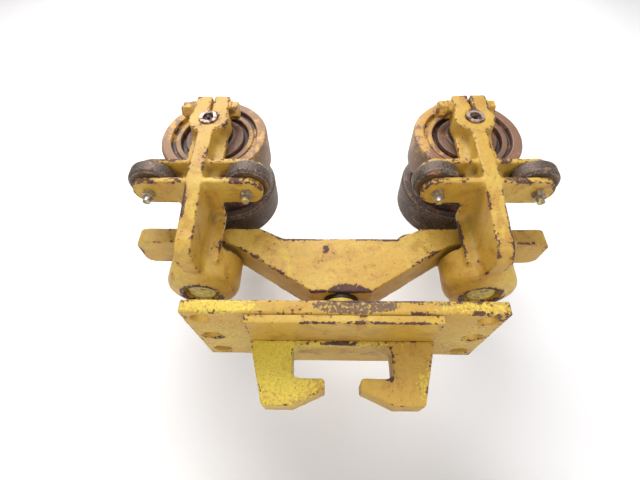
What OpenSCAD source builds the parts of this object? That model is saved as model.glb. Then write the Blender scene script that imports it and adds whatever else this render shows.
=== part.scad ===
// Four-wheel beam trolley with two swivelling yokes, a load beam and a swivelling hook hanger.
// X runs along the rail, Y across it and Z up. The origin is midway between the yokes, on the
// plane where the four wheels stand on the rail's bottom flange.

/* [Rail] */
// Width of the rail flange that passes between the guide rollers
rail_flange_w = 114; // [108:1:114]
// Gap between the inner faces of a front and a back wheel, for the rail's web
web_gap = 44; // [40:1:46]

/* [Wheels] */
// Tread diameter of a wheel
wheel_d = 155; // [150:1:158]
// Width of a wheel
wheel_w = 58; // [54:1:58]
// Diameter of the stub axles
axle_d = 25; // [22:1:26]

/* [Yokes] */
// Distance between the two yokes' swivel axes
yoke_pitch = 370; // [366:1:390]
// Width of an arm's flange along the rail
arm_w = 56; // [48:1:60]
// Width of the stiffening rib on an arm
rib_w = 20; // [16:1:24]
// Outer diameter of the swivel boss
boss_d = 95; // [90:1:98]

/* [Guide rollers] */
// Diameter of a guide roller
roller_d = 60; // [56:1:60]
// Height of a guide roller
roller_h = 22; // [18:1:22]
// Distance between the two guide rollers of one arm
roller_pitch = 126; // [120:1:130]
// Diameter of the guide roller bolts
roller_bolt_d = 9.5; // [8:0.5:10]

/* [Load beam] */
// Overall length of the load beam
beam_len = 569; // [540:1:580]
// Thickness of the load beam across the rail
beam_t = 54; // [50:1:54]
// Height of the beam's end tabs
tab_h = 24; // [20:1:26]
// Diameter of the kingpins
kingpin_d = 25; // [22:1:26]

/* [Hanger] */
// Length of the hanger plate along the rail
plate_len = 364; // [350:1:380]
// Width of the hanger plate across the rail
plate_w = 152; // [140:1:160]
// Thickness of the hanger plate
plate_t = 16; // [12:1:18]
// Diameter of the six hanger bolt holes
hanger_hole_d = 22; // [16:1:24]
// Distance between the end rows of bolt holes
hole_pitch_x = 323; // [310:1:325]
// Distance between the outer bolt holes of one row
hole_pitch_y = 114; // [100:1:116]
// Thickness of the hook plate across the rail
hook_t = 32; // [25:1:40]
// Diameter of the swivel stud
stud_d = 28; // [24:1:30]

/* [Hidden] */
$fn = 96;

paint = [0.83, 0.67, 0.31];
lemon = [0.85, 0.78, 0.25];
bare_steel = [0.62, 0.62, 0.63];
dark_steel = [0.24, 0.19, 0.17];
rusty = [0.55, 0.38, 0.28];
bronze = [0.62, 0.45, 0.22];
rubber = [0.08, 0.08, 0.08];

running_gap = 0.08;
axle_z = wheel_d / 2;
yoke_x = yoke_pitch / 2;
wheel_in = web_gap / 2;
wheel_out = wheel_in + wheel_w;

// Arm of a yoke: distances from the rail's mid-plane
arm_in = wheel_out + 4;
arm_out = arm_in + 8;
rib_out = arm_in + 28;
rib_foot_r = 26;
low_in = beam_t / 2 + 6;
low_out = low_in + 12;
clamp_half_w = 24;
clamp_r = 28;
clamp_top = axle_z + 47.5;
clamp_bolt_z = axle_z + 33;
clamp_bolt_d = 14;
clamp_hex = 21;
slit_w = 3;

// Guide plates and rollers
roller_y = rail_flange_w / 2 + 0.5 + roller_d / 2;
roller_x = roller_pitch / 2;
guide_end_r = 21;
guide_t = 8;
guide_top = 3;
roller_gap = roller_h + 2;
upper_low = guide_top - guide_t;
lower_top = upper_low - roller_gap;
lower_low = lower_top - guide_t - 1;
sleeve_r = 8;
roller_hex = 14.3;

// Load beam, along Z
tab_top = -51.5;
tab_low = tab_top - tab_h;
mid_top = tab_top - 17;
beam_low = -147.5;
mid_half = 78;
top_shoulder = 112;
vee_half = 38;
vee_slope = 32.6;
vee_fillet = 40;
tab_corner_r = 14;
nut_pocket_r = 22;
nut_pocket_low = -108.5;
bush_wall = 4;

// Swivel boss of a yoke
boss_top = tab_low - 13;
boss_low = boss_top - 50;
boss_ring_low = boss_low - 3.5;
boss_ring_r = 30;
boss_round_r = 16;
head_pocket_r = 23;
head_pocket_top = boss_low + 14;
king_bush_wall = 3.5;

// Hanger, along Z
plate_top = -180.5;
plate_low = plate_top - plate_t;
pad_len = 218;
pad_w = 148;
pad_t = 10;
pad_low = plate_low - pad_t;
hook_low = pad_low - 73;
hook_floor = pad_low - 43.5;
hook_ceiling = pad_low - 5.5;
washer_t = 5;
collar_r = 22.5;

// Bearings
bearing_r = 26;
race_r = 17;
bearing_w = 15;
bearing_in = wheel_in + 9;
bearing_out = wheel_out - 5 - bearing_w;

// Lays a flat outline drawn as (Y, Z) down along X, centred on X = 0
module along_x(w) {
  rotate([90, 0, 90]) linear_extrude(w, center = true) children();
}

// Lays a flat outline drawn as (X, Z) down along Y, centred on Y = 0
module along_y(w) {
  rotate([90, 0, 0]) linear_extrude(w, center = true) children();
}

// Turns an outline drawn as (radius, distance from the mid-plane) about the wheel axis
module about_axle() {
  translate([0, 0, axle_z]) rotate([-90, 0, 0]) rotate_extrude() children();
}

// Round bar along Y between two distances from the mid-plane
module axle_bar(r, y0, y1) {
  translate([0, y0, axle_z]) rotate([-90, 0, 0]) cylinder(r = r, h = y1 - y0);
}

// Points of an arc from angle a0 to a1 about (cx, cy)
function arc(cx, cy, r, a0, a1, n = 10) =
  [for (i = [0:n]) let (a = a0 + (a1 - a0) * i / n) [cx + r * cos(a), cy + r * sin(a)]];

// Upright ring or disc between two heights
module ring(r_out, r_in, z0, z1) {
  translate([0, 0, z0]) difference() {
    cylinder(r = r_out, h = z1 - z0);
    translate([0, 0, -1]) cylinder(r = r_in, h = z1 - z0 + 2);
  }
}

// Upright hexagon across its flats
module hexagon(flats, z0, z1) {
  translate([0, 0, z0]) cylinder(d = flats / cos(30), h = z1 - z0, $fn = 6);
}

// ---- Load beam body ----

function mirrored(points) = concat(points, [for (i = [len(points) - 1:-1:0]) [-points[i][0], points[i][1]]]);

// Right half of the beam's outline, from the middle of the top round to the middle of the bottom
function beam_half() =
  let (
    run = vee_fillet * tan(vee_slope / 2),
    knee = vee_half + (tab_low - beam_low) / tan(vee_slope)
  )
  concat(
    [[mid_half, mid_top], [top_shoulder, tab_top], [beam_len / 2, tab_top], [beam_len / 2, tab_low]],
    arc(knee + run, tab_low - vee_fillet, vee_fillet, 90, 90 + vee_slope),
    [[vee_half, beam_low]]
  );

module load_beam() {
  color(paint) difference() {
    intersection() {
      along_y(beam_t) polygon(mirrored(beam_half()));
      translate([0, 0, beam_low]) linear_extrude(tab_top - beam_low) union() {
        square([beam_len - 2 * tab_corner_r, beam_t], center = true);
        square([beam_len, beam_t - 2 * tab_corner_r], center = true);
        for (x = [-1, 1], y = [-1, 1])
          translate([x * (beam_len / 2 - tab_corner_r), y * (beam_t / 2 - tab_corner_r)]) circle(tab_corner_r);
      }
    }
    for (x = [-yoke_x, yoke_x]) translate([x, 0, tab_low - 1]) cylinder(d = kingpin_d, h = tab_h + 2);
    translate([0, 0, nut_pocket_low]) cylinder(r = nut_pocket_r, h = mid_top - nut_pocket_low + 1);
    translate([0, 0, beam_low - 1]) cylinder(r = stud_d / 2 + bush_wall, h = nut_pocket_low - beam_low + 2);
  }
}

module kingpins() {
  color(bare_steel) for (x = [-yoke_x, yoke_x]) translate([x, 0, 0]) {
    translate([0, 0, head_pocket_top - 13]) cylinder(r1 = 17, r2 = 19, h = 2);
    translate([0, 0, head_pocket_top - 11]) cylinder(r = 19, h = 8);
    translate([0, 0, head_pocket_top - 3]) cylinder(d = kingpin_d, h = tab_top - head_pocket_top + 3);
    translate([0, 0, tab_top]) cylinder(r = 10, h = 17);
  }
}

module kingpin_nuts() {
  color(bare_steel) for (x = [-yoke_x, yoke_x]) translate([x, 0, 0]) difference() {
    hexagon(34, tab_top, tab_top + 13);
    translate([0, 0, tab_top - 1]) cylinder(r = 10, h = 16);
  }
}

module kingpin_washers() {
  color(dark_steel) for (x = [-yoke_x, yoke_x]) translate([x, 0, 0])
    ring(21.5, kingpin_d / 2, head_pocket_top - 3, head_pocket_top - 0.3);
}

module thrust_washers() {
  color(dark_steel) for (x = [-yoke_x, yoke_x]) translate([x, 0, 0])
    ring(23, kingpin_d / 2, tab_low - 4, tab_low);
}

module center_bush() {
  color(bronze) ring(stud_d / 2 + bush_wall, stud_d / 2 + running_gap, beam_low, nut_pocket_low);
}

module swivel_washers() {
  color(dark_steel) {
    ring(21.5, stud_d / 2 + 0.4, nut_pocket_low, nut_pocket_low + washer_t);
    ring(collar_r, stud_d / 2 + 0.4, beam_low - washer_t, beam_low);
  }
}

// ---- Hanger body ----

module hanger_plate() {
  color(paint) difference() {
    translate([-plate_len / 2, -plate_w / 2, plate_low]) cube([plate_len, plate_w, plate_t]);
    for (x = [-1, 1], y = [-1, 0, 1]) translate([x * hole_pitch_x / 2, y * hole_pitch_y / 2, plate_low - 1])
      cylinder(d = hanger_hole_d, h = plate_t + 2);
    translate([0, 0, plate_low - 1]) cylinder(d = stud_d, h = plate_t + 2);
  }
}

module pad_plate() {
  color(paint) translate([-pad_len / 2, -pad_w / 2, pad_low]) cube([pad_len, pad_w, pad_t]);
}

// Right half of the hook plate's outline as (X, Z): the notch's corner, its floor, the toe and the shank
function hook_half() =
  let (
    wall = 58.5, toe = 20.5, top_r = 10, floor_r = 9, tip = 3
  )
  concat(
    arc(wall - top_r, hook_ceiling - top_r, top_r, 90, 0),
    arc(wall - floor_r, hook_floor + floor_r, floor_r, 0, -90),
    [
      [toe + tip, hook_floor], [toe, hook_floor - tip], [toe, hook_floor - 13], [57, hook_low],
      [89.5, hook_low], [91, hook_low + 1.5], [111, pad_low]
    ]
  );

// One plate with two facing hooks, joined by a thin web under the pad
module hook_plate() {
  color(lemon) along_y(hook_t) polygon(mirrored(hook_half()));
}

module swivel_stud() {
  color(bare_steel) {
    translate([0, 0, plate_low]) cylinder(d = stud_d, h = nut_pocket_low + washer_t - plate_low);
    translate([0, 0, nut_pocket_low + washer_t]) cylinder(r = 11, h = 27);
    translate([0, 0, nut_pocket_low + washer_t + 27]) cylinder(r1 = 11, r2 = 9.5, h = 1.5);
  }
}

module spacer_collar() {
  color(lemon) ring(collar_r, stud_d / 2, plate_top, beam_low - washer_t - 0.3);
}

// Round castle nut with six slots
module swivel_nut() {
  low = nut_pocket_low + washer_t + 0.2;
  color(bare_steel) difference() {
    ring(19.5, 11, low, low + 20);
    for (a = [0:60:150]) rotate(a) translate([-25, -2.5, low + 14]) cube([50, 5, 10]);
  }
}

// ---- Yoke body ----

// Outline of one arm's flange beside the wheel as (Y, Z), drawn for the back arm
function upper_flange() = [
  [arm_in, lower_low], [arm_in, axle_z], [arm_out, axle_z], [arm_out, lower_low]
];

// Outline of the wider flange between the guide plates and the boss
function lower_flange() = [
  [low_in, boss_low + 22], [low_in, lower_low], [arm_in, lower_low], [arm_in, lower_top],
  [arm_out, lower_top], [arm_out, lower_low], [low_out, lower_low - 8], [low_out, boss_low + 22]
];

// Outline of one arm's rib as (Y, Z): straight beside the wheel, leaning in to the boss below
function arm_rib() = concat(
  [
    [20, boss_low + 8], [low_in, boss_top - 2], [low_in + 3, lower_low], [arm_in, lower_low],
    [arm_in, axle_z], [rib_out, axle_z - 20], [rib_out, -14], [rib_out - 3, lower_low - 4],
    [rib_out - 8, tab_low + 10], [rib_out - 14, boss_top - 14]
  ],
  arc(rib_out - 14 - rib_foot_r, boss_low + 26, rib_foot_r, 8, -72, 12)
);

// Cuts back the arm's inner corners beside the beam so that the yoke can swivel
module arm_inner_relief() {
  for (s = [-1, 1]) translate([s * arm_w / 2, low_in, 0]) rotate(45)
    translate([-5, -5, boss_low]) cube([10, 10, lower_low - boss_low + 1]);
}

module guide_plate(z0, t) {
  difference() {
    translate([0, 0, z0]) linear_extrude(t) union() {
      translate([-roller_x, roller_y - guide_end_r]) square([roller_pitch, 2 * guide_end_r]);
      for (x = [-roller_x, roller_x]) translate([x, roller_y]) circle(guide_end_r);
    }
    for (x = [-roller_x, roller_x]) translate([x, roller_y, z0 - 1])
      cylinder(d = roller_bolt_d + 0.4, h = t + 2);
  }
}

// Cut in the upper guide plate that lets the wheel's rim dip past it
module wheel_relief() {
  translate([-34, roller_y - guide_end_r - 1, upper_low - 1])
    cube([68, arm_in - roller_y + guide_end_r + 1, guide_t + 2]);
}

module arm() {
  difference() {
    union() {
      along_x(arm_w - 6) polygon(upper_flange());
      along_x(arm_w) polygon(lower_flange());
      along_x(rib_w) polygon(arm_rib());
      difference() {
        guide_plate(upper_low, guide_t);
        wheel_relief();
      }
      guide_plate(lower_low, guide_t + 1);
      translate([0, arm_in, axle_z]) rotate([-90, 0, 0]) cylinder(r = clamp_r, h = rib_out - arm_in);
      translate([-clamp_half_w, arm_in, axle_z]) cube([2 * clamp_half_w, rib_out - arm_in, clamp_top - axle_z]);
    }
    translate([0, arm_in - 1, axle_z]) rotate([-90, 0, 0]) cylinder(d = axle_d, h = rib_out - arm_in + 2);
    translate([-slit_w / 2, arm_in - 1, axle_z]) cube([slit_w, rib_out - arm_in + 2, clamp_top - axle_z + 1]);
    translate([-clamp_half_w - 5, (arm_in + rib_out) / 2, clamp_bolt_z]) rotate([0, 90, 0])
      cylinder(d = clamp_bolt_d + 0.6, h = 2 * clamp_half_w + 10);
    arm_inner_relief();
  }
}

// Swivel boss: rounded below, with a raised ring around the kingpin's head
module swivel_boss() {
  r = boss_d / 2;
  rotate_extrude() polygon(concat(
    [[0, boss_top], [r, boss_top]],
    arc(r - boss_round_r, boss_low + boss_round_r, boss_round_r, 0, -90),
    [[boss_ring_r, boss_low], [boss_ring_r, boss_ring_low], [0, boss_ring_low]]
  ));
}

// Bore for the kingpin's bush, with the pocket for the kingpin's head below it
module kingpin_bore() {
  translate([0, 0, boss_ring_low - 1]) cylinder(r = kingpin_d / 2 + king_bush_wall, h = boss_top - boss_ring_low + 2);
  translate([0, 0, boss_ring_low - 1]) cylinder(r = head_pocket_r, h = head_pocket_top - boss_ring_low + 1);
}

module yoke() {
  color(paint) difference() {
    union() {
      swivel_boss();
      arm();
      mirror([0, 1, 0]) arm();
    }
    kingpin_bore();
  }
}

module king_bush() {
  color(bronze) ring(kingpin_d / 2 + king_bush_wall, kingpin_d / 2 + running_gap, head_pocket_top, boss_top);
}

module thrust_ring() {
  color(dark_steel) ring(low_in - 0.5, kingpin_d / 2 + 0.4, boss_top, tab_low - 4.15);
}

// Stub axle of the back arm: shoulder against the arm, thread for the locknut, greasing recess
module axle() {
  end_y = rib_out + 2;
  shoulder = bearing_out + bearing_w;
  color(bare_steel) difference() {
    union() {
      axle_bar(axle_d / 2, bearing_in, end_y);
      axle_bar(race_r - 0.5, shoulder, arm_in);
      axle_bar(9, wheel_in + 3.2, bearing_in);
    }
    axle_bar(7.5, end_y - 6, end_y + 1);
  }
}

module locknut() {
  color(dark_steel) difference() {
    axle_bar(15, wheel_in + 3.6, bearing_in);
    axle_bar(9, wheel_in + 3, bearing_in + 1);
  }
}

module bearing_races() {
  for (y = [bearing_in, bearing_out]) difference() {
    axle_bar(race_r, y, y + bearing_w);
    axle_bar(axle_d / 2, y - 1, y + bearing_w + 1);
  }
}

module grease_fitting() {
  base = rib_out - 4;
  translate([0, base, axle_z]) rotate([-90, 0, 0]) {
    cylinder(d = 8 / cos(30), h = 2.4, $fn = 6);
    cylinder(r = 2.4, h = 4.2);
    translate([0, 0, 4.2]) cylinder(r = 1.9, h = 0.8);
    translate([0, 0, 5]) cylinder(r1 = 2.7, r2 = 1.4, h = 1.6);
  }
}

// Places a child drawn along X at the back arm's clamp bolt
module at_clamp_bolt() {
  translate([0, (arm_in + rib_out) / 2, clamp_bolt_z]) rotate([0, 90, 0]) children();
}

// Clamp bolt of the back arm, head towards +X
module clamp_bolt() {
  at_clamp_bolt() {
    translate([0, 0, clamp_half_w + 3]) cylinder(d = clamp_hex / cos(30), h = 9, $fn = 6);
    translate([0, 0, -clamp_half_w - 23]) cylinder(d = clamp_bolt_d, h = 2 * clamp_half_w + 26);
  }
}

module clamp_nut() {
  at_clamp_bolt() translate([0, 0, -clamp_half_w - 19]) difference() {
    cylinder(d = clamp_hex / cos(30), h = 12, $fn = 6);
    translate([0, 0, -1]) cylinder(d = clamp_bolt_d, h = 14);
  }
}

// Flat washers: one under the head and a thick one under the nut
module clamp_washers() {
  at_clamp_bolt() {
    ring(13, clamp_bolt_d / 2, clamp_half_w, clamp_half_w + 3);
    ring(13, clamp_bolt_d / 2, -clamp_half_w - 7, -clamp_half_w);
  }
}

module roller_bolt() {
  hexagon(roller_hex, guide_top, guide_top + 6);
  translate([0, 0, lower_low - 15]) cylinder(d = roller_bolt_d, h = guide_top - lower_low + 15);
}

module roller_nut() {
  difference() {
    hexagon(roller_hex, lower_low - 8, lower_low);
    translate([0, 0, lower_low - 9]) cylinder(d = roller_bolt_d, h = 10);
  }
}

module roller_sleeve() {
  ring(sleeve_r, roller_bolt_d / 2, lower_top, upper_low);
}

// Places a child at each of a yoke's four guide rollers
module at_rollers() {
  for (x = [-roller_x, roller_x], y = [-roller_y, roller_y]) translate([x, y, 0]) children();
}

// Places a child drawn for the back arm at both arms
module at_arms() {
  children();
  mirror([0, 1, 0]) children();
}

// ---- Wheels and rollers ----

// Wheel of the back arm: crowned rim, two stepped grooves and a hub in its outer face
module wheel() {
  r = wheel_d / 2;
  o = wheel_out;
  i = wheel_in;
  color(rusty) about_axle() polygon([
    [bearing_r, i], [48, i], [52, i + 8], [60, i + 8], [64, i + 1], [r - 3, i + 1], [r, i + 5],
    [r, o - 4], [r - 2.5, o], [63, o], [61.5, o - 7], [57.5, o - 7], [57, o - 4.5], [50, o - 4.5],
    [49, o - 13], [43, o - 13], [42, o - 5], [32, o - 5], [30, o - 1], [bearing_r, o - 1],
    [bearing_r, bearing_out], [bearing_r - 3, bearing_out], [bearing_r - 3, bearing_in + bearing_w],
    [bearing_r, bearing_in + bearing_w]
  ]);
}

module wheel_bearings() {
  color(bare_steel) for (y = [bearing_in, bearing_out]) difference() {
    axle_bar(bearing_r, y, y + bearing_w);
    axle_bar(race_r + running_gap, y - 1, y + bearing_w + 1);
  }
}

module hub_covers() {
  color(rubber) {
    axle_bar(bearing_r, wheel_in + 0.2, wheel_in + 2.2);
    difference() {
      axle_bar(bearing_r, wheel_out - 4.8, wheel_out - 1.6);
      axle_bar(race_r + 0.3, wheel_out - 6, wheel_out);
    }
  }
}

module roller() {
  mid = (upper_low + lower_top) / 2;
  r = roller_d / 2;
  h = roller_h / 2;
  color(dark_steel) translate([0, 0, mid]) rotate_extrude() polygon([
    [sleeve_r + running_gap, -h], [14, -h], [15, -h + 2], [22, -h + 2], [23, -h + 0.5], [r - 3, -h + 0.5],
    [r, -h + 4.5], [r, h - 4.5], [r - 3, h - 0.5], [23, h - 0.5], [22, h - 2], [15, h - 2], [14, h],
    [sleeve_r + running_gap, h]
  ]);
}

module left() {
  translate([-yoke_x, 0, 0]) children();
}

module right() {
  translate([yoke_x, 0, 0]) children();
}

module front() {
  mirror([0, 1, 0]) children();
}

load_beam();
kingpins();
kingpin_nuts();
kingpin_washers();
thrust_washers();
center_bush();
swivel_washers();
hanger_plate();
pad_plate();
hook_plate();
swivel_stud();
spacer_collar();
swivel_nut();
left() yoke();  // yoke_left
left() king_bush();  // king_bush_left
left() thrust_ring();  // thrust_ring_left
left() at_arms() axle();  // stub_axles_left
left() at_arms() locknut();  // axle_locknuts_left
left() color(bare_steel) at_arms() bearing_races();  // bearing_races_left
left() color(bare_steel) at_arms() grease_fitting();  // grease_fittings_left
left() color(paint) at_arms() clamp_bolt();  // clamp_bolts_left
left() color(paint) at_arms() clamp_nut();  // clamp_nuts_left
left() color(paint) at_arms() clamp_washers();  // clamp_washers_left
left() color(bare_steel) at_rollers() roller_bolt();  // roller_bolts_left
left() color(bare_steel) at_rollers() roller_nut();  // roller_nuts_left
left() color(bronze) at_rollers() roller_sleeve();  // roller_sleeves_left
right() yoke();  // yoke_right
right() king_bush();  // king_bush_right
right() thrust_ring();  // thrust_ring_right
right() at_arms() axle();  // stub_axles_right
right() at_arms() locknut();  // axle_locknuts_right
right() color(bare_steel) at_arms() bearing_races();  // bearing_races_right
right() color(bare_steel) at_arms() grease_fitting();  // grease_fittings_right
right() color(paint) at_arms() clamp_bolt();  // clamp_bolts_right
right() color(paint) at_arms() clamp_nut();  // clamp_nuts_right
right() color(paint) at_arms() clamp_washers();  // clamp_washers_right
right() color(bare_steel) at_rollers() roller_bolt();  // roller_bolts_right
right() color(bare_steel) at_rollers() roller_nut();  // roller_nuts_right
right() color(bronze) at_rollers() roller_sleeve();  // roller_sleeves_right
left() front() wheel();  // wheel_front_left
left() wheel();  // wheel_back_left
right() front() wheel();  // wheel_front_right
right() wheel();  // wheel_back_right
left() front() wheel_bearings();  // wheel_bearings_front_left
left() wheel_bearings();  // wheel_bearings_back_left
right() front() wheel_bearings();  // wheel_bearings_front_right
right() wheel_bearings();  // wheel_bearings_back_right
left() front() hub_covers();  // hub_covers_front_left
left() hub_covers();  // hub_covers_back_left
right() front() hub_covers();  // hub_covers_front_right
right() hub_covers();  // hub_covers_back_right
left() translate([-roller_x, -roller_y, 0]) roller();  // roller_1
left() translate([roller_x, -roller_y, 0]) roller();  // roller_2
left() translate([-roller_x, roller_y, 0]) roller();  // roller_3
left() translate([roller_x, roller_y, 0]) roller();  // roller_4
right() translate([-roller_x, -roller_y, 0]) roller();  // roller_5
right() translate([roller_x, -roller_y, 0]) roller();  // roller_6
right() translate([-roller_x, roller_y, 0]) roller();  // roller_7
right() translate([roller_x, roller_y, 0]) roller();  // roller_8
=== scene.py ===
import math

import bpy
import numpy as np
from mathutils import Matrix, Vector, kdtree


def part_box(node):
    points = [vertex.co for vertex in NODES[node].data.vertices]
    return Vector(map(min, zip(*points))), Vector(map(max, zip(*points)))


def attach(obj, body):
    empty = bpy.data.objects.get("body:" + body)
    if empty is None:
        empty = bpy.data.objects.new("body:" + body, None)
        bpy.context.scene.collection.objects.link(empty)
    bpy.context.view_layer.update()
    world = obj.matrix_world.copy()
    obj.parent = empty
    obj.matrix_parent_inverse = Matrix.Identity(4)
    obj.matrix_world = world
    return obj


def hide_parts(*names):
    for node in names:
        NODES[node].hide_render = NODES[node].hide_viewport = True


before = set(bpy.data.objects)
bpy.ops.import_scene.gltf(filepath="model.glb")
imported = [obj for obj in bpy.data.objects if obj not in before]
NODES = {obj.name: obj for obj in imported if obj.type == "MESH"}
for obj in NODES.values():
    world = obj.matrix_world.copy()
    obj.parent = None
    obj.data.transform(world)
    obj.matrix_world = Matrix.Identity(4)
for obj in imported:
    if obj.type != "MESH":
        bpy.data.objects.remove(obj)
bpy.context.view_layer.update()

SIDES = ("left", "right")


def middle(node):
    """Centre of a CAD node's box, to a tenth of a millimetre."""
    low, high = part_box(node)
    return [round((a + b) / 2, 4) for a, b in zip(low, high)]


YOKE_X = {side: middle("yoke_" + side)[0] for side in SIDES}
AXLE_Z = middle("wheel_front_left")[2]


def srgb(r, g, b):
    """Linear colour of an 8-bit display colour."""
    lin = [c / 255 / 12.92 if c <= 10 else ((c / 255 + 0.055) / 1.055) ** 2.4 for c in (r, g, b)]
    return (*lin, 1.0)


# ---------------------------------------------------------------- materials


class Shade:
    """A material's node tree, built in the object's own coordinates in metres."""

    def __init__(self, name, bevel=0.0):
        self.mat = bpy.data.materials.new(name)
        self.mat.use_nodes = True
        self.tree = self.mat.node_tree
        self.bsdf = self.tree.nodes["Principled BSDF"]
        self.coord = self.node("ShaderNodeTexCoord").outputs["Object"]
        self.normal = None
        if bevel:
            n = self.node("ShaderNodeBevel")
            n.samples = 4
            n.inputs["Radius"].default_value = bevel
            self.normal = n.outputs["Normal"]

    def node(self, kind, **props):
        n = self.tree.nodes.new(kind)
        for k, v in props.items():
            setattr(n, k, v)
        return n

    def put(self, socket, value):
        if isinstance(value, bpy.types.NodeSocket):
            self.tree.links.new(value, socket)
        else:
            socket.default_value = value

    def spot(self, offset=0.0, stretch=(1, 1, 1)):
        n = self.node("ShaderNodeMapping")
        self.put(n.inputs["Vector"], self.coord)
        n.inputs["Location"].default_value = (offset, offset * 0.7, -offset)
        n.inputs["Scale"].default_value = stretch
        return n.outputs["Vector"]

    def noise(self, scale, detail=4.0, rough=0.55, offset=0.0, stretch=(1, 1, 1), warp=0.0):
        n = self.node("ShaderNodeTexNoise")
        self.put(n.inputs["Vector"], self.spot(offset, stretch))
        n.inputs["Scale"].default_value = scale
        n.inputs["Detail"].default_value = detail
        n.inputs["Roughness"].default_value = rough
        n.inputs["Distortion"].default_value = warp
        return n.outputs["Fac"]

    def ramp(self, value, lo, hi, out_lo=0.0, out_hi=1.0):
        """Smooth step of value from lo to hi, out as out_lo to out_hi."""
        n = self.node("ShaderNodeMapRange", interpolation_type="SMOOTHSTEP")
        keys = ("Value", "From Min", "From Max", "To Min", "To Max")
        for key, v in zip(keys, (value, lo, hi, out_lo, out_hi)):
            self.put(n.inputs[key], v)
        return n.outputs["Result"]

    def math(self, op, a, b=0.0):
        n = self.node("ShaderNodeMath", operation=op)
        self.put(n.inputs[0], a)
        self.put(n.inputs[1], b)
        return n.outputs[0]

    def sum(self, *terms):
        total = terms[0]
        for t in terms[1:]:
            total = self.math("ADD", total, t)
        return total

    def scaled(self, value, factor):
        return self.math("MULTIPLY", value, factor)

    def mix(self, fac, a, b):
        n = self.node("ShaderNodeMix", data_type="RGBA")
        self.put(n.inputs["Factor"], fac)
        self.put(n.inputs[6], a)
        self.put(n.inputs[7], b)
        return n.outputs[2]

    def attribute(self, name):
        return self.node("ShaderNodeAttribute", attribute_name=name).outputs["Fac"]

    def vector(self, op, a, b):
        n = self.node("ShaderNodeVectorMath", operation=op)
        self.put(n.inputs[0], a)
        self.put(n.inputs[1], b)
        return n

    def blob(self, centre, radii):
        """1 at the centre of an ellipsoid in millimetres, 0 on its skin and below 0 outside."""
        away = self.vector("SUBTRACT", self.coord, [c / 1000 for c in centre]).outputs[0]
        inside = self.vector("MULTIPLY", away, [1000 / r for r in radii]).outputs[0]
        return self.math("SUBTRACT", 1.0, self.vector("LENGTH", inside, (0, 0, 0)).outputs["Value"])

    def reach(self, centre, mask):
        """Distance in metres from a line or point through centre, along the axes set in mask."""
        away = self.vector("SUBTRACT", self.coord, centre).outputs[0]
        flat = self.vector("MULTIPLY", away, mask).outputs[0]
        return self.vector("LENGTH", flat, (0, 0, 0)).outputs["Value"]

    def bump(self, height, distance, strength):
        n = self.node("ShaderNodeBump")
        n.inputs["Strength"].default_value = strength
        n.inputs["Distance"].default_value = distance
        self.put(n.inputs["Height"], height)
        if self.normal is not None:
            self.put(n.inputs["Normal"], self.normal)
        self.normal = n.outputs["Normal"]

    def done(self, colour, roughness, metallic=0.0):
        self.put(self.bsdf.inputs["Base Color"], colour)
        self.put(self.bsdf.inputs["Roughness"], roughness)
        self.put(self.bsdf.inputs["Metallic"], metallic)
        self.put(self.bsdf.inputs["Normal"], self.normal)
        return self.mat


STEEL_BEVEL = 0.0004

GOLD = srgb(189, 151, 56)
OCHRE = srgb(170, 125, 42)
PALE = srgb(200, 168, 74)
LEMON = srgb(200, 178, 42)
KHAKI = srgb(156, 136, 60)
RUST = srgb(120, 72, 42)
DARK = srgb(58, 38, 32)
PLUM = srgb(78, 52, 50)
GREASE = srgb(40, 28, 22)
FRESH_LEMON = srgb(226, 206, 84)
# Brown for dirt and painted shade in the castings' hollows.
SOIL_AND_SHADE = srgb(104, 78, 40)
CHIP_RIM = srgb(150, 96, 48)
CHIP_DOT = srgb(88, 56, 38)
BALD_LIGHT = srgb(118, 96, 70)
BALD_DARK = srgb(92, 66, 52)
SCUFF = srgb(134, 130, 122)
WHEEL_RUST = srgb(158, 98, 60)
WHEEL_SPRAY = srgb(186, 132, 52)
RUBBED_EDGE = srgb(160, 140, 118)
# Dark of the wheel faces' grooves: partly grime, partly painted shade.
STEEL_BROWN = srgb(42, 31, 27)
GROOVE_GRIME_AND_SHADE = srgb(52, 34, 27)
# Face and hub colour of the back wheels, darker than the front ones: painted shade.
SHADED_FACE = srgb(50, 34, 28)


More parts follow.
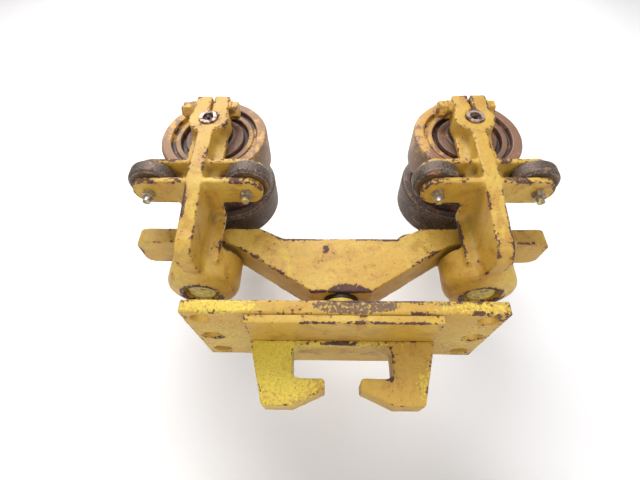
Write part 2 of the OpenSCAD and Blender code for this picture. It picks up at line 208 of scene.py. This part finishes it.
def worn_paint(name, offset, lemon=(), chips=0.0, speckle=0.0, soil_and_shade_boost=0.0,
               chipped=(), bald=(), scuffed=(), greasy=()):
    """Brushed-on yellow paint over a rough casting, chipped along its edges and stained, and browned in its
    hollows as dirt and painted shade.
    The lists hold (centre, radii, strength) in millimetres: lemon is where a brighter coat was
    sprayed, chipped where the paint has chipped, bald where it is worn to speckled brown steel,
    scuffed where it is rubbed grey and greasy where it is black with grease."""
    s = Shade(name)
    broad = s.noise(11, 3, offset=offset)
    patch = s.noise(42, 4, offset=offset + 3.1, warp=0.6)
    mottle = s.noise(300, 4, 0.6, offset=offset + 4.4)
    fine = s.noise(240, 5, 0.62, offset=offset + 5.7)
    grit = s.noise(1300, 3, 0.6, offset=offset + 1.3)

    def field(spots, start=-0.25, stop=0.6):
        total = 0.0
        for centre, radii, strength in spots:
            total = s.math("ADD", total, s.ramp(s.blob(centre, radii), start, stop, 0, strength))
        return total

    colour = s.mix(s.ramp(broad, 0.42, 0.62), GOLD, PALE)
    colour = s.mix(s.ramp(patch, 0.5, 0.68, 0, 0.75), colour, OCHRE)
    khaki = s.noise(70, 5, 0.6, offset=offset + 12.0)
    colour = s.mix(s.ramp(khaki, 0.5, 0.75, 0, 0.5), colour, KHAKI)
    sweep = s.noise(24, 4, offset=offset + 9.2, warp=1.0)
    colour = s.mix(s.ramp(sweep, 0.6, 0.72, 0, 0.6), colour, LEMON)
    if lemon:
        coat = s.sum(mottle, s.scaled(patch, 0.35), field(lemon))
        fresh = s.ramp(coat, 0.86, 0.93, 0, 0.9)
        colour = s.mix(fresh, colour, s.mix(s.ramp(grit, 0.4, 0.6), LEMON, FRESH_LEMON))
    colour = s.mix(s.ramp(fine, 0.3, 0.75, 0.24, 0.0), colour, RUST)
    edge = s.attribute("edge")
    dip = s.attribute("dip")
    # Browner in the hollows, by dip, and a little all over where a material asks for it: partly dirt, partly
    # painted shade.
    hollow_soil_and_shade = s.ramp(s.sum(s.scaled(dip, 0.7), s.scaled(patch, 0.5), soil_and_shade_boost), 0.5, 1.1, 0, 0.6)
    colour = s.mix(hollow_soil_and_shade, colour, SOIL_AND_SHADE)
    bare = s.sum(
        s.scaled(edge, 0.38),
        s.scaled(s.math("SUBTRACT", patch, 0.5), 1.05),
        s.scaled(s.math("SUBTRACT", fine, 0.5), 1.25),
        chips,
        field(chipped),
    )
    gone = s.ramp(bare, 0.47, 0.52)
    halo = s.ramp(bare, 0.38, 0.5, 0, 0.5)
    pits = s.noise(420, 3, 0.5, offset=offset + 7.7)
    dots = s.ramp(s.sum(pits, s.scaled(patch, 0.22), speckle), 0.775, 0.82)
    metal = s.mix(s.ramp(s.noise(150, 4, offset=offset + 2.2), 0.35, 0.65), DARK, PLUM)
    metal = s.mix(s.ramp(fine, 0.5, 0.75, 0, 0.8), metal, RUST)
    colour = s.mix(halo, colour, CHIP_RIM)
    lost = s.math("MAXIMUM", gone, dots)
    if bald:
        thin = s.sum(mottle, s.scaled(patch, 0.5), field(bald, -0.1, 0.3))
        worn_through = s.ramp(thin, 1.0, 1.06)
        brown = s.mix(s.ramp(grit, 0.42, 0.58), BALD_LIGHT, BALD_DARK)
        colour = s.mix(worn_through, colour, brown)
        lost = s.math("MAXIMUM", lost, worn_through)
    colour = s.mix(gone, colour, metal)
    colour = s.mix(dots, colour, CHIP_DOT)
    if scuffed:
        rub = s.ramp(s.sum(s.scaled(fine, 1.2), field(scuffed)), 0.9, 1.2, 0, 0.8)
        colour = s.mix(rub, colour, SCUFF)
    if greasy:
        smear = s.sum(s.scaled(patch, 0.6), s.scaled(fine, 0.5), field(greasy))
        black = s.ramp(smear, 0.85, 1.15, 0, 0.95)
        colour = s.mix(black, colour, GREASE)
    s.bump(s.sum(s.scaled(fine, 0.6), s.scaled(grit, 0.25)), 0.0006, 0.75)
    s.bump(s.math("SUBTRACT", 1.0, lost), 0.00025, 0.9)
    rough = s.sum(s.ramp(fine, 0.3, 0.7, 0.42, 0.6), s.scaled(lost, 0.22))
    return s.done(colour, rough)


def steel(name, light, dark, stain, offset, paint, metallic, roughness=0.4, coat=(GOLD, LEMON)):
    """Machined steel with a dark stain in it, and paint that has been brushed or sprayed over it.
    paint is how much of it the paint covers, and metallic how bright its bare metal is."""
    s = Shade(name, bevel=STEEL_BEVEL)
    cloud = s.noise(160, 4, offset=offset)
    fine = s.noise(900, 4, 0.6, offset=offset + 2.0)
    colour = s.mix(s.ramp(fine, 0.3, 0.7), light, dark)
    stained = s.ramp(cloud, 0.45, 0.62)
    colour = s.mix(stained, colour, stain)
    painted = s.ramp(s.sum(s.noise(95, 5, 0.6, offset=offset + 4.0), paint), 0.98, 1.06)
    colour = s.mix(painted, colour, s.mix(s.ramp(cloud, 0.4, 0.6), *coat))
    s.bump(s.sum(fine, painted), 0.00018, 0.7)
    bare = s.math("SUBTRACT", 1.0, s.math("MAXIMUM", painted, stained))
    rough = s.ramp(cloud, 0.3, 0.7, roughness - 0.08, roughness + 0.2)
    return s.done(colour, rough, s.scaled(bare, metallic))


def turned(name, centre, axis, tread_r, bands, tread, offset, over, over_from, sprayed=(), dark=0.0):
    """A wheel or roller: face colours by radius, a worn tread band, and yellow overspray.
    bands are (radius, colour) from the hub outwards. over is how much overspray it has outside
    the radius over_from, and sprayed holds more of it as (centre, radii, strength) in
    millimetres. dark darkens it with more of its dark stain colour; on the back wheels that is painted
    shade."""
    s = Shade(name)
    mask = [1.0, 1.0, 1.0]
    mask[axis] = 0.0
    r = s.reach(centre, mask)
    cloud = s.noise(75, 5, 0.6, offset=offset, warp=0.5)
    fine = s.noise(420, 5, 0.62, offset=offset + 3.0)
    wobble = s.sum(r, s.scaled(s.math("SUBTRACT", cloud, 0.5), 0.0035))
    colour = bands[0][1]
    for radius, tone in bands[1:]:
        colour = s.mix(s.ramp(wobble, radius - 0.0006, radius + 0.0006), colour, tone)
    # Dark stains; the dark setting adds more of them, which on the back wheels is painted shade.
    colour = s.mix(s.ramp(s.sum(fine, dark), 0.4, 0.7, 0, 0.65), colour, DARK)
    colour = s.mix(s.ramp(cloud, 0.52, 0.7, 0, 0.6), colour, WHEEL_RUST)
    spray = s.sum(s.scaled(cloud, 0.9), s.scaled(fine, 0.5), over)
    for place, radii, strength in sprayed:
        spray = s.math("ADD", spray, s.ramp(s.blob(place, radii), -0.2, 0.7, 0, strength))
    spray = s.math("MULTIPLY", s.ramp(spray, 0.86, 0.98), s.ramp(r, over_from, over_from + 0.002))
    colour = s.mix(spray, colour, s.mix(s.ramp(fine, 0.42, 0.58), GOLD, WHEEL_SPRAY))
    rolling = s.ramp(r, tread_r - 0.0022, tread_r - 0.0008)
    polish = s.ramp(s.sum(cloud, s.scaled(fine, 0.5)), 0.55, 0.9, 0.95, 0.3)
    worn = s.math("MULTIPLY", rolling, polish)
    colour = s.mix(worn, colour, tread)
    rubbed = s.math("MULTIPLY", s.attribute("edge"), s.ramp(fine, 0.38, 0.6, 0, 0.55))
    colour = s.mix(rubbed, colour, RUBBED_EDGE)
    s.bump(s.sum(s.scaled(fine, 0.7), s.scaled(cloud, 0.4)), 0.0007, 0.7)
    metal = s.scaled(worn, 0.6)
    return s.done(colour, s.ramp(fine, 0.3, 0.7, 0.42, 0.62), metal)


# ---------------------------------------------------------------- mesh tools


def new_piece(name, verts, faces, body, material, replaced, smooth, edge, dip):
    """Shown piece that stands for the CAD nodes in replaced. edge and dip say, point by point,
    how convex and how hollow its surface is, for the wear, dirt and painted shade in its material."""
    mesh = bpy.data.meshes.new(name)
    mesh.from_pydata([tuple(v) for v in verts], [], faces)
    mesh.validate()
    obj = bpy.data.objects.new(name, mesh)
    bpy.context.scene.collection.objects.link(obj)
    mesh.materials.append(material)
    mesh.shade_smooth()
    mesh.set_sharp_from_angle(angle=math.radians(smooth))
    for key, values in (("edge", edge), ("dip", dip)):
        layer = mesh.attributes.new(key, "FLOAT", "POINT")
        layer.data.foreach_set("value", np.asarray(values, np.float32))
    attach(obj, body)
    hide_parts(*replaced)
    return obj


def arrays(mesh):
    points = np.empty(len(mesh.vertices) * 3)
    mesh.vertices.foreach_get("co", points)
    pairs = np.empty(len(mesh.edges) * 2, np.int64)
    mesh.edges.foreach_get("vertices", pairs)
    return points.reshape(-1, 3), pairs.reshape(-1, 2)


def average(values, pairs, degree):
    """Mean of each vertex's neighbours."""
    out = np.zeros_like(values)
    for k in range(values.shape[1]):
        out[:, k] = np.bincount(pairs[:, 0], values[pairs[:, 1], k], len(values))
        out[:, k] += np.bincount(pairs[:, 1], values[pairs[:, 0], k], len(values))
    return out / degree[:, None]


def vertex_normals(mesh):
    out = np.empty(len(mesh.vertices) * 3)
    mesh.vertices.foreach_get("normal", out)
    return out.reshape(-1, 3)


def ripple(p, seed, scales):
    """Smooth deterministic surface unevenness from summed plane waves, in metres."""
    rng = np.random.default_rng(seed)
    total = np.zeros(len(p))
    for wavelength, height in scales:
        for _ in range(9):
            d = rng.normal(size=3)
            d /= np.linalg.norm(d)
            turns_per_metre = 2 * math.pi / (wavelength * rng.uniform(0.8, 1.3))
            total += height / 3 * np.sin(p @ d * turns_per_metre + rng.uniform(0, 6.28))
    return total


CAST_SKIN = ((0.03, 0.0002), (0.009, 0.00012))


def cast_copy(node, body, material, voxel, rounds, seed, rough=CAST_SKIN, keep=0.45, fill=0):
    """Dense, rounded copy of a CAD solid with a slightly uneven skin, standing for that node.
    rough holds (wavelength, height) of its skin in metres. keep is the share of its faces that is
    kept. fill is how many rounds of smoothing only its inner corners get, as a casting's fillets."""
    source = bpy.data.objects.new(node + "_voxels", NODES[node].data.copy())
    bpy.context.scene.collection.objects.link(source)
    mod = source.modifiers.new("voxels", "REMESH")
    mod.mode = "VOXEL"
    mod.voxel_size = voxel
    dense = bpy.data.meshes.new_from_object(source.evaluated_get(bpy.context.evaluated_depsgraph_get()))
    bpy.data.objects.remove(source)
    p, pairs = arrays(dense)
    degree = np.bincount(pairs.ravel(), minlength=len(p)).astype(float)
    for _ in range(rounds):
        p += 0.62 * (average(p, pairs, degree) - p)
        p -= 0.34 * (average(p, pairs, degree) - p)
    dense.vertices.foreach_set("co", p.ravel())
    dense.update()
    n = vertex_normals(dense)
    for k in range(fill):
        pull = average(p, pairs, degree) - p
        hollow = (pull * n).sum(axis=1)
        hollow = average(hollow[:, None], pairs, degree)[:, 0]
        p += pull * np.clip(hollow / (voxel * 0.01), 0, 1)[:, None] * 0.8
        if k % 10 == 9:
            dense.vertices.foreach_set("co", p.ravel())
            dense.update()
            n = vertex_normals(dense)
    blurred = p.copy()
    for _ in range(14):
        blurred = average(blurred, pairs, degree)
    height = ((p - blurred) * n).sum(axis=1)[:, None]
    for _ in range(2):
        height = average(height, pairs, degree)
    height = height[:, 0] / (voxel * 0.55)
    edge, dip = np.clip(height, 0, 1), np.clip(-height, 0, 1)
    p += n * ripple(p, seed, rough)[:, None]
    dense.vertices.foreach_set("co", p.ravel())
    dense.update()
    holder = bpy.data.objects.new(node + "_dense", dense)
    bpy.context.scene.collection.objects.link(holder)
    mod = holder.modifiers.new("fewer", "DECIMATE")
    mod.ratio = keep
    lean = bpy.data.meshes.new_from_object(holder.evaluated_get(bpy.context.evaluated_depsgraph_get()))
    bpy.data.objects.remove(holder)
    tree = kdtree.KDTree(len(p))
    for i, v in enumerate(p):
        tree.insert(v, i)
    tree.balance()
    q, _ = arrays(lean)
    near = np.array([tree.find(v)[1] for v in q])
    faces = [tuple(f.vertices) for f in lean.polygons]
    return new_piece(node + "_cast", q, faces, body, material, (node,), 60.0,
                     edge[near], dip[near])


def rounded(points, radius, steps=3):
    """A closed outline with its corners rounded, and how convex each point is."""
    out, convex = [], []
    pts = [Vector(p) for p in points]
    area = sum(a.x * b.y - b.x * a.y for a, b in zip(pts, pts[1:] + pts[:1]))
    for i, p in enumerate(pts):
        a, b = pts[i - 1], pts[(i + 1) % len(pts)]
        u, v = (a - p), (b - p)
        cut = min(radius, u.length * 0.45, v.length * 0.45)
        start, end = p + u.normalized() * cut, p + v.normalized() * cut
        turn = (p.x - a.x) * (b.y - p.y) - (p.y - a.y) * (b.x - p.x)
        sign = 1.0 if turn * area > 0 else 0.0
        for k in range(steps + 1):
            t = k / steps
            out.append((1 - t) ** 2 * start + 2 * t * (1 - t) * p + t * t * end)
            convex.append(sign * (1.0 if 0 < k < steps else 0.45))
    return out, convex


TURNED_SKIN = ((0.02, 0.00012), (0.006, 0.00012 * 0.6))


def lathe(name, outline, radius, centre, axis, flip, body, material, segments=112, seed=3):
    """Turns a closed outline of (radius, distance along the axis) about an axis through centre.
    The piece stands for the CAD node that its body is named after."""
    profile, convex = rounded(outline, radius)
    verts, edge = [], []
    for k in range(segments):
        a = 2 * math.pi * k / segments
        c, s = math.cos(a), math.sin(a)
        for (r, h), e in zip(profile, convex):
            h *= flip
            verts.append((r * c, h, r * s) if axis == 1 else (r * c, r * s, h))
            edge.append(e)
    verts = np.array(verts)
    count = len(profile)
    faces = []
    for k in range(segments):
        n = (k + 1) % segments
        for i in range(count):
            j = (i + 1) % count
            faces.append((k * count + i, k * count + j, n * count + j, n * count + i))
    outward = (axis == 1) != (flip < 0)
    if not outward:
        faces = [f[::-1] for f in faces]
    lift = ripple(verts, seed, TURNED_SKIN)
    radial = verts.copy()
    radial[:, axis] = 0
    length = np.linalg.norm(radial, axis=1)[:, None]
    verts = verts + radial / length * np.minimum(lift, 0)[:, None] * (length > 0.02)
    verts = verts + np.array(centre)
    return new_piece(name, verts, faces, body, material, (body,), 40.0,
                     edge, np.zeros(len(edge)))


# ---------------------------------------------------------------- castings and plates
# Each spot of wear is (centre, radii, strength), in millimetres.

YOKE_CHIPS = {
    "left": (
        ((-185, 0, -139), (38, 42, 9), 0.3),
        ((-170, -40, -104), (10, 16, 26), 0.16),
        ((-160, -36, -88), (16, 16, 14), 0.34),
        ((-192, -103, -68), (6, 12, 24), 0.22),
    ),
    "right": (
        ((185, 0, -139), (38, 42, 9), 0.26),
        ((160, -40, -80), (10, 16, 34), 0.26),
        ((172, -52, -108), (8, 14, 14), 0.3),
        ((196, -90, -90), (5, 20, 40), 0.14),
    ),
}
for k, side in enumerate(SIDES):
    x = 1000 * YOKE_X[side]
    paint = worn_paint(
        "yoke_paint_" + side, offset=2.0 + 5 * k, chips=0.04,
        chipped=YOKE_CHIPS[side],
        scuffed=(((x, 0, -142), (36, 36, 5), 0.35),),
        greasy=(((x, 0, -86), (52, 40, 7), 0.5), ((x, 0, -128), (24, 24, 12), 0.4)),
    )
    cast_copy("yoke_" + side, "yoke_" + side, paint,
              voxel=0.00125, rounds=7, seed=11 + k, keep=0.3, fill=50)

beam_paint = worn_paint(
    "beam_paint", offset=21.0, chips=0.03,
    chipped=(
        ((12, -27, -142), (30, 8, 9), 0.5),
        ((0, -27, -149), (60, 10, 5), 0.3),
        ((-120, -27, -90), (26, 9, 10), 0.2),
        ((-20, -27, -86), (6, 6, 9), 0.5),
        ((60, -27, -70), (60, 6, 4), 0.26),
        ((-60, -27, -70), (50, 6, 4), 0.2),
        ((120, -27, -96), (40, 9, 12), 0.2),
    ),
    greasy=(
        ((0, 0, -150), (34, 40, 8), 0.55),
        ((-185, 0, -76), (60, 40, 6), 0.35),
        ((185, 0, -76), (60, 40, 6), 0.35),
    ),
)
cast_copy("load_beam", "load_beam", beam_paint, voxel=0.0015, rounds=3, seed=21)

plate_paint = worn_paint(
    "plate_paint", offset=31.0, chips=0.015,
    lemon=(
        ((-140, -76, -188), (60, 12, 12), 0.3),
        ((-150, 0, -197), (60, 80, 6), 0.16),
        ((150, 0, -197), (60, 80, 6), 0.14),
        ((150, -76, -188), (70, 10, 12), 0.2),
    ),
    chipped=(((30, -76, -181), (70, 6, 4), 0.3),),
    bald=(((14, -76, -187), (58, 10, 11), 0.4), ((100, -76, -182), (36, 8, 6), 0.25)),
)
cast_copy("hanger_plate", "hanger", plate_paint,
          voxel=0.0016, rounds=2, seed=31, rough=((0.05, 0.00015), (0.008, 0.00008)))

# The pad is browned a little all over: partly dirt, partly painted shade.
pad_paint = worn_paint("pad_paint", offset=37.0, soil_and_shade_boost=0.06, chipped=(((20, -74, -206), (90, 5, 3), 0.2),))
cast_copy("pad_plate", "hanger", pad_paint,
          voxel=0.0016, rounds=2, seed=37, rough=((0.05, 0.00012), (0.008, 0.00006)))

hook_paint = worn_paint(
    "hook_paint", offset=41.0, chips=0.01, speckle=0.01,
    lemon=(
        ((-80, -16, -240), (80, 34, 60), 0.34),
        ((-60, -16, -212), (60, 20, 10), 0.2),
        ((95, -16, -262), (14, 20, 40), 0.2),
        ((30, -16, -210), (50, 20, 5), 0.2),
    ),
    chipped=(
        ((62, -16, -222), (10, 12, 14), 0.3),
        ((0, -16, -211), (22, 6, 4), 0.3),
        ((64, -16, -252), (16, 10, 6), 0.25),
    ),
    greasy=(((-58, 0, -232), (3, 22, 22), 0.4), ((58, 0, -232), (3, 22, 22), 0.4)),
)
cast_copy("hook_plate", "hanger", hook_paint, voxel=0.0013, rounds=3, seed=41)

# The collar is browned a little all over: partly dirt, partly painted shade.
collar_paint = worn_paint("collar_paint", offset=47.0, lemon=(((0, 0, -165), (40, 40, 30), 0.4),), soil_and_shade_boost=0.1)
cast_copy("spacer_collar", "hanger", collar_paint, voxel=0.0012, rounds=2, seed=47)

# ---------------------------------------------------------------- wheels and rollers

# Outlines are (radius, distance from the mid-plane) in millimetres, as in the CAD.
R = 1000 * AXLE_Z
OUTER, INNER = 80.0, 22.0
BEARING_R, BEARING_IN, BEARING_OUT, BEARING_W = 26.0, 31.0, 60.0, 15.0
WHEEL_OUTLINE = [
    (BEARING_R, INNER), (48, INNER), (52, INNER + 8), (60, INNER + 8), (64, INNER + 1),
    (R - 3, INNER + 1), (R, INNER + 5), (R, OUTER - 4), (R - 2.5, OUTER), (63, OUTER),
    (61.5, OUTER - 7), (57.5, OUTER - 7), (57, OUTER - 4.5), (50, OUTER - 4.5),
    (49, OUTER - 13), (43, OUTER - 13), (42, OUTER - 5), (32, OUTER - 5), (30, OUTER - 1),
    (BEARING_R, OUTER - 1), (BEARING_R, BEARING_OUT), (BEARING_R - 3, BEARING_OUT),
    (BEARING_R - 3, BEARING_IN + BEARING_W), (BEARING_R, BEARING_IN + BEARING_W),
]
WHEEL_CORNER = 0.0012
FACE_TONE = {"left": srgb(136, 92, 50), "right": srgb(122, 78, 58)}
# The back tread is a darker copy of the front tread: painted shade.
FRONT_HUB, FRONT_TREAD, SHADED_BACK_TREAD = srgb(104, 66, 44), srgb(112, 98, 82), srgb(58, 46, 41)
OVERSPRAY = {
    ("front", "left"): 0.08, ("front", "right"): 0.0,
    ("back", "left"): -0.16, ("back", "right"): -0.16,
}
SPRAYED = {
    "left": (((-235, -80, 110), (60, 40, 60), 0.18), ((-125, -80, 60), (24, 40, 60), 0.1)),
    "right": (((122, -80, 95), (60, 40, 90), 0.28), ((185, -80, 155), (60, 40, 20), 0.18)),
}


def face_bands(face, hub):
    """Colours of a wheel's face by radius: hub, groove, web, groove and rim. The grooves and the ring round
    the bore are dark, partly grime and partly painted shade.
    """
    return [(0, GROOVE_GRIME_AND_SHADE), (0.030, hub), (0.0425, GROOVE_GRIME_AND_SHADE), (0.0495, face), (0.0575, GROOVE_GRIME_AND_SHADE),
            (0.0625, face)]


for k, side in enumerate(SIDES):
    for f, (row, sign) in enumerate((("front", -1), ("back", 1))):
        name = f"wheel_{row}_{side}"
        centre = (YOKE_X[side], 0.0, AXLE_Z)
        if row == "front":
            bands, tread, sprayed = face_bands(FACE_TONE[side], FRONT_HUB), FRONT_TREAD, SPRAYED[side]
        else:
            # The back wheels get darker face, hub and tread colours and more dark stain (dark below):
            # painted shade.
            bands, tread, sprayed = face_bands(SHADED_FACE, SHADED_FACE), SHADED_BACK_TREAD, ()
        look = turned(
            name + "_look", centre, 1, AXLE_Z, bands, tread, offset=50 + 7 * k + 3 * f,
            over=OVERSPRAY[row, side], over_from=0.05, sprayed=sprayed, dark=0.12 * f,
        )
        lathe(name + "_rim", [(r / 1000, h / 1000) for r, h in WHEEL_OUTLINE], WHEEL_CORNER, centre, 1, sign,
              name, look, seed=60 + 2 * k + f)

ROLLER_OUTLINE = [
    (8.08, -11), (14, -11), (15, -9), (22, -9), (23, -10.5), (27, -10.5), (30, -6.5),
    (30, 6.5), (27, 10.5), (23, 10.5), (22, 9), (15, 9), (14, 11), (8.08, 11),
]
ROLLER_CORNER = 0.0014
ROLLER_R = 0.030
ROLLER_BANDS = [(0, srgb(150, 118, 60)), (0.0148, srgb(120, 92, 50)), (0.0225, STEEL_BROWN)]
ROLLER_TREAD = srgb(66, 54, 49)
for number in range(1, 9):
    name = f"roller_{number}"
    centre = tuple(middle(name))
    look = turned(name + "_look", centre, 2, ROLLER_R, ROLLER_BANDS, ROLLER_TREAD,
                  offset=80 + 2.3 * number, over=0.04, over_from=0.014)
    lathe(name + "_rim", [(r / 1000, h / 1000) for r, h in ROLLER_OUTLINE], ROLLER_CORNER, centre, 2, 1,
          name, look, segments=80, seed=80 + number)

# ---------------------------------------------------------------- carried-over CAD nodes

plated = steel("plated_steel_look", srgb(190, 188, 180), srgb(140, 136, 126), srgb(120, 92, 52),
               offset=100, paint=0.46, metallic=0.8)
bolt_paint = steel("painted_bolt_look", srgb(158, 116, 62), srgb(116, 78, 44), srgb(96, 60, 38),
                   offset=103, paint=0.56, metallic=0.3, coat=(OCHRE, GOLD))
king = steel("kingpin_look", srgb(152, 132, 84), srgb(104, 84, 54), srgb(58, 40, 32),
             offset=109, paint=0.6, metallic=0.3, coat=(KHAKI, LEMON))
pin = steel("machined_pin_look", srgb(196, 168, 156), srgb(150, 118, 104), srgb(70, 46, 40),
            offset=107, paint=0.3, metallic=0.55)
nut = steel("kingpin_nut_look", srgb(120, 104, 90), srgb(84, 66, 54), srgb(60, 40, 32),
            offset=111, paint=0.5, metallic=0.5)
grease = steel("greasy_steel_look", srgb(52, 40, 34), srgb(34, 26, 22), srgb(20, 16, 14),
               offset=115, paint=0.2, metallic=0.35, roughness=0.35)
race = steel("bearing_race_look", srgb(170, 170, 168), srgb(128, 128, 126), srgb(70, 62, 54),
             offset=119, paint=0.2, metallic=0.9, roughness=0.28)
bronze = steel("bronze_look", srgb(176, 132, 72), srgb(140, 100, 52), srgb(74, 52, 32),
               offset=123, paint=0.1, metallic=0.85)
seal = steel("seal_look", srgb(36, 34, 32), srgb(22, 20, 20), srgb(58, 44, 34),
             offset=127, paint=0.2, metallic=0.0, roughness=0.6)
stud = steel("stud_look", srgb(96, 80, 66), srgb(64, 50, 42), srgb(44, 32, 26),
             offset=131, paint=0.42, metallic=0.4)

# A node takes the look of the longest key that its name starts with.
LOOKS = {
    "roller_bolts": plated, "roller_nuts": plated, "roller_sleeves": bronze,
    "clamp_bolts": bolt_paint, "clamp_nuts": bolt_paint, "clamp_washers": bolt_paint,
    "stub_axles": pin, "grease_fittings": grease, "axle_locknuts": grease,
    "bearing_races": race, "wheel_bearings": race, "hub_covers": seal,
    "kingpins": king, "kingpin_nuts": nut, "kingpin_washers": grease, "king_bush": bronze,
    "swivel_stud": stud, "swivel_nut": nut, "swivel_washers": grease, "center_bush": bronze,
    "thrust": grease,
}
for name, obj in NODES.items():
    keys = [key for key in LOOKS if name.startswith(key)]
    if keys:
        obj.data.materials.clear()
        obj.data.materials.append(LOOKS[max(keys, key=len)])

# ---------------------------------------------------------------- stage, light and camera


def sweep(wall_y, floor_z, reach, bend):
    """Pale studio sweep: a floor that curves up into a wall behind the object.
    Seen from behind it is clear, so that views from there aren't blocked."""
    path = [(-reach, floor_z)]
    for k in range(13):
        a = math.radians(90 * k / 12)
        path.append((wall_y - bend + bend * math.sin(a), floor_z + bend - bend * math.cos(a)))
    path.append((wall_y, reach))
    verts = [(x, y, z) for y, z in path for x in (-reach, reach)]
    faces = [(2 * i, 2 * i + 1, 2 * i + 3, 2 * i + 2) for i in range(len(path) - 1)]
    mesh = bpy.data.meshes.new("studio_sweep")
    mesh.from_pydata(verts, [], faces)
    mesh.shade_smooth()
    obj = bpy.data.objects.new("studio_sweep", mesh)
    bpy.context.scene.collection.objects.link(obj)
    mat = bpy.data.materials.new("studio_sweep_look")
    mat.use_nodes = True
    tree = mat.node_tree
    bsdf = tree.nodes["Principled BSDF"]
    bsdf.inputs["Base Color"].default_value = srgb(236, 236, 238)
    bsdf.inputs["Roughness"].default_value = 0.7
    clear = tree.nodes.new("ShaderNodeBsdfTransparent")
    pick = tree.nodes.new("ShaderNodeMixShader")
    geo = tree.nodes.new("ShaderNodeNewGeometry")
    tree.links.new(geo.outputs["Backfacing"], pick.inputs[0])
    tree.links.new(bsdf.outputs[0], pick.inputs[1])
    tree.links.new(clear.outputs[0], pick.inputs[2])
    tree.links.new(pick.outputs[0], tree.nodes["Material Output"].inputs["Surface"])
    mesh.materials.append(mat)


sweep(wall_y=0.205, floor_z=-0.42, reach=4.0, bend=0.12)


def lamp(name, place, size, power, colour=(1, 1, 1)):
    data = bpy.data.lights.new(name, "AREA")
    data.shape = "RECTANGLE"
    data.size, data.size_y = size
    data.energy = power
    data.color = colour
    obj = bpy.data.objects.new(name, data)
    bpy.context.scene.collection.objects.link(obj)
    obj.location = place
    obj.rotation_mode = "QUATERNION"
    obj.rotation_quaternion = (LIT - Vector(place)).to_track_quat("-Z", "Y")


LIT = Vector((0, 0, -0.06))
lamp("key", (-0.35, -1.15, 0.95), (1.5, 0.9), 31, (1.0, 0.985, 0.96))
lamp("fill", (0.9, -1.2, -0.1), (1.2, 1.2), 7, (0.96, 0.98, 1.0))
lamp("top", (0.1, 0.05, 1.3), (1.4, 1.0), 10)
lamp("rear", (-0.4, 1.1, 0.5), (1.2, 0.8), 8)

world = bpy.data.worlds.new("studio")
bpy.context.scene.world = world
world.use_nodes = True
world.node_tree.nodes["Background"].inputs["Color"].default_value = (1.0, 0.985, 0.95, 1)
world.node_tree.nodes["Background"].inputs["Strength"].default_value = 0.34

# The camera is below and in front of the trolley. The pitch leans its line of sight from straight
# up towards +Y, the yaw turns it about Y, and the roll turns it about the line of sight.
CAMERA_AT = (-0.017142, -0.464699, -0.349698)
PITCH, YAW, ROLL = (math.radians(a) for a in (57.463, -2.239, -1.664))
FOCAL_MM, SENSOR_MM = 21.336356, 36

forward = Vector((0, math.sin(PITCH), math.cos(PITCH)))
upward = Vector((0, -math.cos(PITCH), math.sin(PITCH)))
yawed = Matrix(((math.cos(YAW), 0, math.sin(YAW)), (0, 1, 0), (-math.sin(YAW), 0, math.cos(YAW))))
forward, upward, rightward = yawed @ forward, yawed @ upward, yawed @ Vector((1, 0, 0))
right_rolled = math.cos(ROLL) * rightward + math.sin(ROLL) * upward
up_rolled = -math.sin(ROLL) * rightward + math.cos(ROLL) * upward

lens = bpy.data.cameras.new("camera")
lens.lens = FOCAL_MM
lens.sensor_width = SENSOR_MM
lens.clip_start = 0.01
camera = bpy.data.objects.new("camera", lens)
bpy.context.scene.collection.objects.link(camera)
stand = Matrix((right_rolled, up_rolled, -forward)).transposed().to_4x4()
stand.translation = Vector(CAMERA_AT)
camera.matrix_world = stand
bpy.context.scene.camera = camera
bpy.context.scene.view_settings.view_transform = "Standard"
